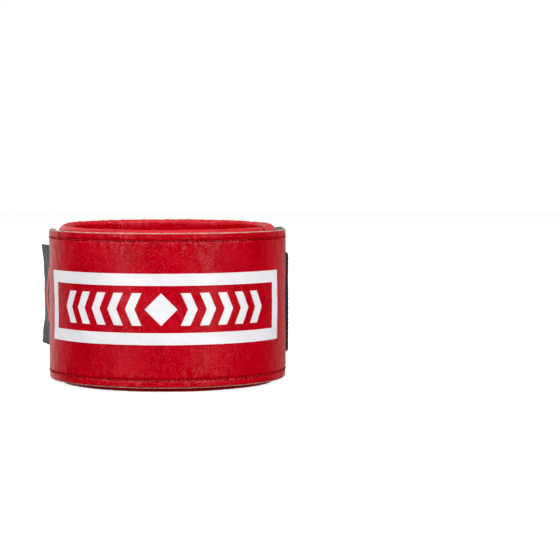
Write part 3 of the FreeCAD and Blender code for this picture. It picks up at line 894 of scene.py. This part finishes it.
# ---------------------------- the strap's stitching
# The same red thread, finer: one row along each edge and one across the free end. It holds
# the leather and its backing together.
STRAP_STITCH, STRAP_THREAD, STRAP_THREAD_LIFT = 0.0018, 0.00026, 0.00030
for stretch, start, end, bend in STRAP_STRETCHES:
    stop = TIP_END + STITCH_MARGIN if stretch == "left" else end
    first = math.ceil(stop / STITCH_PITCH)
    stations = (np.arange(first, math.floor(start / STITCH_PITCH)) + 0.5) * STITCH_PITCH
    rows = []
    for sign in (1, -1):

        def edge_row(along, lift, sign=sign):
            """Along the strap's edge."""
            height = sign * (strap_edge(along) - STITCH_MARGIN)
            return strap_place(along, height, lift + STRAP_THREAD_LIFT)

        rows.append(stitches(edge_row, stations, STRAP_STITCH, STRAP_THREAD, thread))
    if stretch == "left":
        reach = STRAP_HALF - CLIP_DEPTH - STITCH_MARGIN * 0.6
        across = np.arange(-reach, reach, STITCH_PITCH) + STITCH_PITCH / 2

        def end_row(along, lift):
            """Across the strap's free end."""
            station = np.full_like(along, TIP_END + STITCH_MARGIN)
            return strap_place(station, along, lift + STRAP_THREAD_LIFT)

        rows.append(stitches(end_row, across, STRAP_STITCH, STRAP_THREAD, thread))
    seam = join_pieces(f"strap_stitching_{stretch}", rows)
    fasten(seam, "thread", *bend)
    node = STRAP_NODES[stretch]
    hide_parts(f"strap_thread_upper_{node}", f"strap_thread_lower_{node}")
    if stretch == "right":
        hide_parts("anchor_thread_upper", "anchor_thread_lower")

# ---------------------------- the white print
# A satin white film pressed into the leather: an open frame with a row of chevrons that
# point away from a diamond in the middle.
FILM_GRAIN = 0.00012
white_film, _ = grained(
    "white_film", (0.74, 0.73, 0.755), (0.80, 0.79, 0.815),
    pebbles=1050, gloss=0.38, spread=0.2, bump=0.22, depth=FILM_GRAIN,
)
FILM, FILM_GRID = 0.00010, 0.0008
PRINT_RIGHT, PRINT_LEFT = arc(64), arc(-70.5)
PRINT_HALF = 0.0175
PRINT_LEVEL = 0.0007
PRINT_BAR = 0.0059
PRINT_MIDDLE = (PRINT_RIGHT + PRINT_LEFT) / 2
MARK_HALF = 0.0080
MARK_BAR = 0.0048
MARK_POINT = 0.0036
MARK_STEP = arc(9)
MARK_FIRST = arc(13)


def film(name, along, height):
    """A thin film that follows the leather, over a grid of stations and heights."""
    face = strap_place(along, height + PRINT_LEVEL, FILM)
    back = strap_place(along, height + PRINT_LEVEL, -FILM)
    return slab(name, face, back, [white_film], (along, height))


def bar(start, end, low, high):
    """A rectangle of film between two stations and two heights."""
    along = evenly(start, end, FILM_GRID)
    height = evenly(low, high, FILM_GRID).T
    return film("bar", along, height)


def chevron(centre, points_to):
    """A bent bar of film: its middle is pushed on by MARK_POINT, its ends held back."""
    up = np.linspace(-1, 1, 25)[None, :]
    across = np.linspace(-0.5, 0.5, 8)[:, None]
    along = centre + across * MARK_BAR + points_to * MARK_POINT * (0.5 - np.abs(up))
    return film("chevron", along, up * MARK_HALF + 0 * across)


def diamond(centre):
    """A square of film standing on its corner."""
    u, v = np.meshgrid(np.linspace(-1, 1, 16), np.linspace(-1, 1, 16), indexing="ij")
    return film("diamond", centre + (u + v) / 2 * MARK_HALF, (u - v) / 2 * MARK_HALF)


for stretch, start, end, bend in STRAP_STRETCHES:
    right, left = min(start, PRINT_RIGHT), max(end, PRINT_LEFT)
    lines = [
        bar(right, left, PRINT_HALF - PRINT_BAR, PRINT_HALF),
        bar(right, left, -PRINT_HALF, PRINT_BAR - PRINT_HALF),
    ]
    if stretch == "right":
        lines.append(bar(PRINT_RIGHT, PRINT_RIGHT - PRINT_BAR, -PRINT_HALF, PRINT_HALF))
    if stretch == "left":
        lines.append(bar(PRINT_LEFT + PRINT_BAR, PRINT_LEFT, -PRINT_HALF, PRINT_HALF))
    border = join_pieces(f"print_border_{stretch}", lines)
    fasten(border, "white_print", *bend)
    if stretch in ("right", "left"):
        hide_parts("print_frame_root" if stretch == "right" else "print_frame_middle")
    marks = [diamond(PRINT_MIDDLE)] if left < PRINT_MIDDLE < right else []
    for number in range(5):
        for side in (1, -1):
            centre = PRINT_MIDDLE + side * (MARK_FIRST + number * MARK_STEP)
            if left < centre < right:
                marks.append(chevron(centre, side))
    chevrons = join_pieces(f"print_chevrons_{stretch}", marks)
    fasten(chevrons, "white_print", *bend)
    if stretch == "front":
        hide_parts("print_marks_root", "print_marks_middle")

# ---------------------------- the hook patch
# Moulded black nylon hook tape, bonded to the backing behind the strap's free end. Each hook
# is a small stem that bends over at the top.
hook_base, tree, shader, place = blank("hook_nylon")
speck = noise(tree, place, 700)
two_tone(tree, shader, speck, (0.008, 0.008, 0.009), (0.020, 0.020, 0.022))
relief(tree, shader, speck, 0.3, 0.0002)
shader.inputs["Roughness"].default_value = 0.55
HOOK_START, HOOK_END = -arc(41), -(QUARTER + 0.0128)
HOOK_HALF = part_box("hook_patch_middle")[1].z
HOOK_BASE, HOOK_BACK = -0.0030, -0.0025
stations = np.linspace(HOOK_START, HOOK_END, 50)[:, None]
height = np.linspace(-HOOK_HALF, HOOK_HALF, 24)
sides = [strap_layer(stations, height, depth) for depth in (HOOK_BASE, HOOK_BACK)]
tape = slab("tape", *sides, [hook_base], (stations, height))


def hooks(name, stations, heights, skin):
    """Rows of hooks: four-sided stems that rise from the tape and bend over at the top."""
    along, up = (grid.ravel() for grid in np.meshgrid(stations, heights))
    rise = np.array([0.0, 0.00028, 0.00045, 0.00040])
    bend = np.array([0.0, 0.0, 0.00012, 0.00034])
    thick = np.array([0.00016, 0.00012, 0.00011, 0.00006])
    corner = np.array([(-1, -1), (1, -1), (1, 1), (-1, 1)])
    x, y, out_x, out_y = strap_plan(along, STRAP_OUTER + HOOK_BASE)
    root = np.stack([x, y, up], -1)[:, None, None, :]
    inward = np.stack([-out_x, -out_y, 0 * x], -1)[:, None, None, :]
    beside = np.stack([out_y, -out_x, 0 * x], -1)[:, None, None, :]
    upward = np.array([0, 0, 1.0])
    points = (
        root
        + rise[None, :, None, None] * inward
        + (bend[:, None] + thick[:, None] * corner[:, 0])[None, :, :, None] * upward
        + (thick[:, None] * corner[:, 1])[None, :, :, None] * beside
    )
    index, quads = ring_quads(len(rise), len(corner))
    ends = np.array([index[0][::-1], index[-1]])
    each = np.concatenate([quads, ends])
    faces = (np.arange(len(along))[:, None, None] * index.size + each).reshape(-1, 4)
    mesh = bpy.data.meshes.new(name)
    mesh.from_pydata(points.reshape(-1, 3).tolist(), [], faces.tolist())
    mesh.materials.append(skin)
    turn_outward(mesh, points[0])
    return add_piece(name, mesh)


field = hooks(
    "field", np.arange(HOOK_START - 0.001, HOOK_END + 0.001, -0.0014),
    np.arange(-HOOK_HALF + 0.001, HOOK_HALF - 0.001, 0.0016), hook_base,
)
hook_tape = join_pieces("hook_tape", [tape, field])
fasten(hook_tape, "hook_tape", *STRAP_STRETCHES[2][3])
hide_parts("hook_patch_middle", "hook_patch_tip")

# ---------------------------- the sewn-down end
# A strip of foam packs out the step between band and strap, and a black leather tape
# covers the strap's cut end, stitched through all of it.
black_leather = leather(
    "black_leather", (0.006, 0.006, 0.007), (0.014, 0.014, 0.016),
    pebbles=800, gloss=0.42, spread=0.35, bump=0.8, coat=0.15,
)
PAD_START = arc(77)
stations = np.linspace(PAD_START, ANCHOR_END, 24)[:, None]
height = np.linspace(-STRAP_HALF + 0.0006, STRAP_HALF - 0.0006, 24)
face = strap_layer(stations, height, FELT_BOTTOM)
back = stacked(*plan(stations, BAND_OUTER)[:2], height)
packing = slab("anchor_packing", face, back, [felt], (stations, height))
fasten(packing, "padding", None, rides_on="cuff")
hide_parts("anchor_pad")

TAPE_START = QUARTER - arc(3)
TAPE_END = QUARTER + STRAIGHT + arc(14)
TAPE_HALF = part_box("anchor_tape")[1].z
TAPE_THICK, TAPE_SEAM = 0.0013, 0.003
TAPE_STITCH, TAPE_STITCH_PITCH, TAPE_THREAD = 0.002, 0.0026, 0.00025


def tape_place(along, height, lift):
    """Points on the tape's face: thinner at its edges and sunk along its two seams."""
    end = np.minimum(along - TAPE_START, TAPE_END - along)
    edge = np.minimum(end, TAPE_HALF - np.abs(height))
    rounded = TAPE_THICK * np.clip(edge / 0.0012, 0.0, 1) ** 0.5
    seam = -0.00025 * bell(edge - TAPE_SEAM, 0.0006)
    wave = 0.00012 * ripple(along, height, 41, 0.006, 0.02)
    x, y, out_x, out_y = plan(along, STRAP_OUTER)
    rise = rounded + seam + wave * np.clip(edge / 0.002, 0, 1) + lift
    return stacked(x + rise * out_x, y + rise * out_y, height)


stations = np.linspace(TAPE_START, TAPE_END, 60)[:, None]
height = np.linspace(-TAPE_HALF, TAPE_HALF, 80)
back = strap_layer(stations, height, -BEDDED)
tape = slab("end_tape", tape_place(stations, height, 0), back, [black_leather], (stations, height))
fasten(tape, "black_tape", None, rides_on="cuff")
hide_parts("anchor_tape")

rows = []
for station in (TAPE_START + TAPE_SEAM, TAPE_END - TAPE_SEAM):

    def tape_row(along, lift, station=station):
        """Up the tape, near one of its long edges."""
        return tape_place(np.full_like(along, station), along, lift + 0.0001)

    levels = np.arange(-TAPE_HALF + TAPE_SEAM, TAPE_HALF - TAPE_SEAM, TAPE_STITCH_PITCH)
    levels = levels + TAPE_STITCH_PITCH / 2
    rows.append(stitches(tape_row, levels, TAPE_STITCH, TAPE_THREAD, black_thread))
tape_seam = join_pieces("end_tape_stitching", rows)
fasten(tape_seam, "black_tape", None, rides_on="cuff")

# ---------------------------- the pull tab
# A tongue of grained black leather sewn under the strap's end. It widens in a curve, its
# sides are raw and fuzzy, and it curls away from the band so that fingers get behind it.
TAB_HINGE = np.array(JOINTS["pull_tab_flex"]["pos_m"], float)
TAB_LENGTH, TAB_FLARE, TAB_TUCK = 0.044, 0.031, 0.013
TAB_NECK_HALF, TAB_HALF = 0.020, 0.027
TAB_OUT = math.radians(13.5)
TAB_THICK = 0.0010
TAB_BEND = 0.006
TAB_CURL, TAB_RUMPLE, TAB_SPLIT = 0.0016, 0.00025, 0.0006


def tab_half(reach):
    """Half the tab's width: it widens quickly, then less, and is straight at the end."""
    share = np.clip(reach / TAB_FLARE, 0, 1)
    return TAB_NECK_HALF + (TAB_HALF - TAB_NECK_HALF) * (1 - (1 - share) ** 2.2)


def tab_place(reach, side, depth):
    """Points of the tab at reach from the strap's end, side from -1 to 1 across it.

    It leaves the strap straight, turns out by TAB_OUT over the stretch TAB_BEND, and its
    far corners curl out further. depth goes in towards the band.
    """
    away = np.maximum(reach, 0)
    turning = away**2 / (2 * TAB_BEND)
    lean = math.sin(TAB_OUT) * np.where(away < TAB_BEND, turning, away - TAB_BEND / 2)
    curl = TAB_CURL * (np.clip(reach / TAB_LENGTH, 0, 1) ** 2) * np.abs(side) ** 2.5
    rumple = TAB_RUMPLE * ripple(reach, side * TAB_HALF, 51, 0.008, 0.025)
    rumple = rumple * np.clip(reach / 0.008, 0, 1)
    x = TAB_HINGE[0] - lean - curl - rumple + depth
    y = TAB_HINGE[1] + reach * np.where(reach > 0, math.cos(TAB_OUT), 1.0)
    height = side * tab_half(reach)
    return stacked(x, y, height)


reach = np.linspace(-TAB_TUCK, TAB_LENGTH, 90)[:, None]
side = np.sin(np.linspace(-math.pi / 2, math.pi / 2, 90))[None, :]
fray = 1 + 0.0003 * ripple(reach, 0 * side, 52, 0.001, 0.004) / TAB_HALF * np.abs(side) ** 8
frayed = side * fray
for name, slot_name, top, bottom, skin, node in (
    ("pull_tab", "black_leather", 0.0, TAB_SPLIT, black_leather, "pull_tab_leather"),
    ("pull_tab_suede", "black_leather", TAB_SPLIT, TAB_THICK, felt, "pull_tab_backing"),
):
    edge = np.maximum(0, 1 - (1 - np.abs(side)) / 0.02) ** 2
    face = tab_place(reach, frayed, top + (0.0002 * edge if top == 0 else 0))
    back = tab_place(reach, frayed, bottom)
    tongue = slab(name, face, back, [skin, felt, felt], (reach, side * tab_half(reach)))
    start = TAB_HINGE - np.array([0, 0.0005, 0])
    end = TAB_HINGE + np.array([-0.001, 0.009, 0])
    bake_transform(tongue)
    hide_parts(node)
    if node == "pull_tab_leather":
        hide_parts("pull_tab_root")

# ---------------------------- the tab's mark
# Two red chevrons of satin film, one behind the other, pressed into the tab's outer face.
# They point to its free end.
red_film, _ = grained(
    "red_film", (0.46, 0.003, 0.012), (0.56, 0.004, 0.016),
    pebbles=800, gloss=0.4, spread=0.2, bump=0.4, depth=FILM_GRAIN,
)
TAB_MARK_START, TAB_MARK_STEP, TAB_MARK_BAR = 0.0135, 0.0115, 0.0068
TAB_MARK_POINT, TAB_MARK_HALF = 0.009, 0.0145
marks = []
for number in range(2):
    up = np.linspace(-1, 1, 31)[None, :]
    across = np.linspace(0, 1, 9)[:, None]
    reach = TAB_MARK_START + number * TAB_MARK_STEP + across * TAB_MARK_BAR
    reach = reach + TAB_MARK_POINT * (1 - np.abs(up))
    side = up * TAB_MARK_HALF / tab_half(reach)
    face, back = tab_place(reach, side, -FILM), tab_place(reach, side, FILM)
    marks.append(slab("mark", face, back, [red_film], (reach, up * TAB_MARK_HALF)))
tab_mark = join_pieces("pull_tab_chevrons", marks)
fasten(tab_mark, "red_print", None, rides_on="pull_tab")
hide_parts("pull_tab_mark")
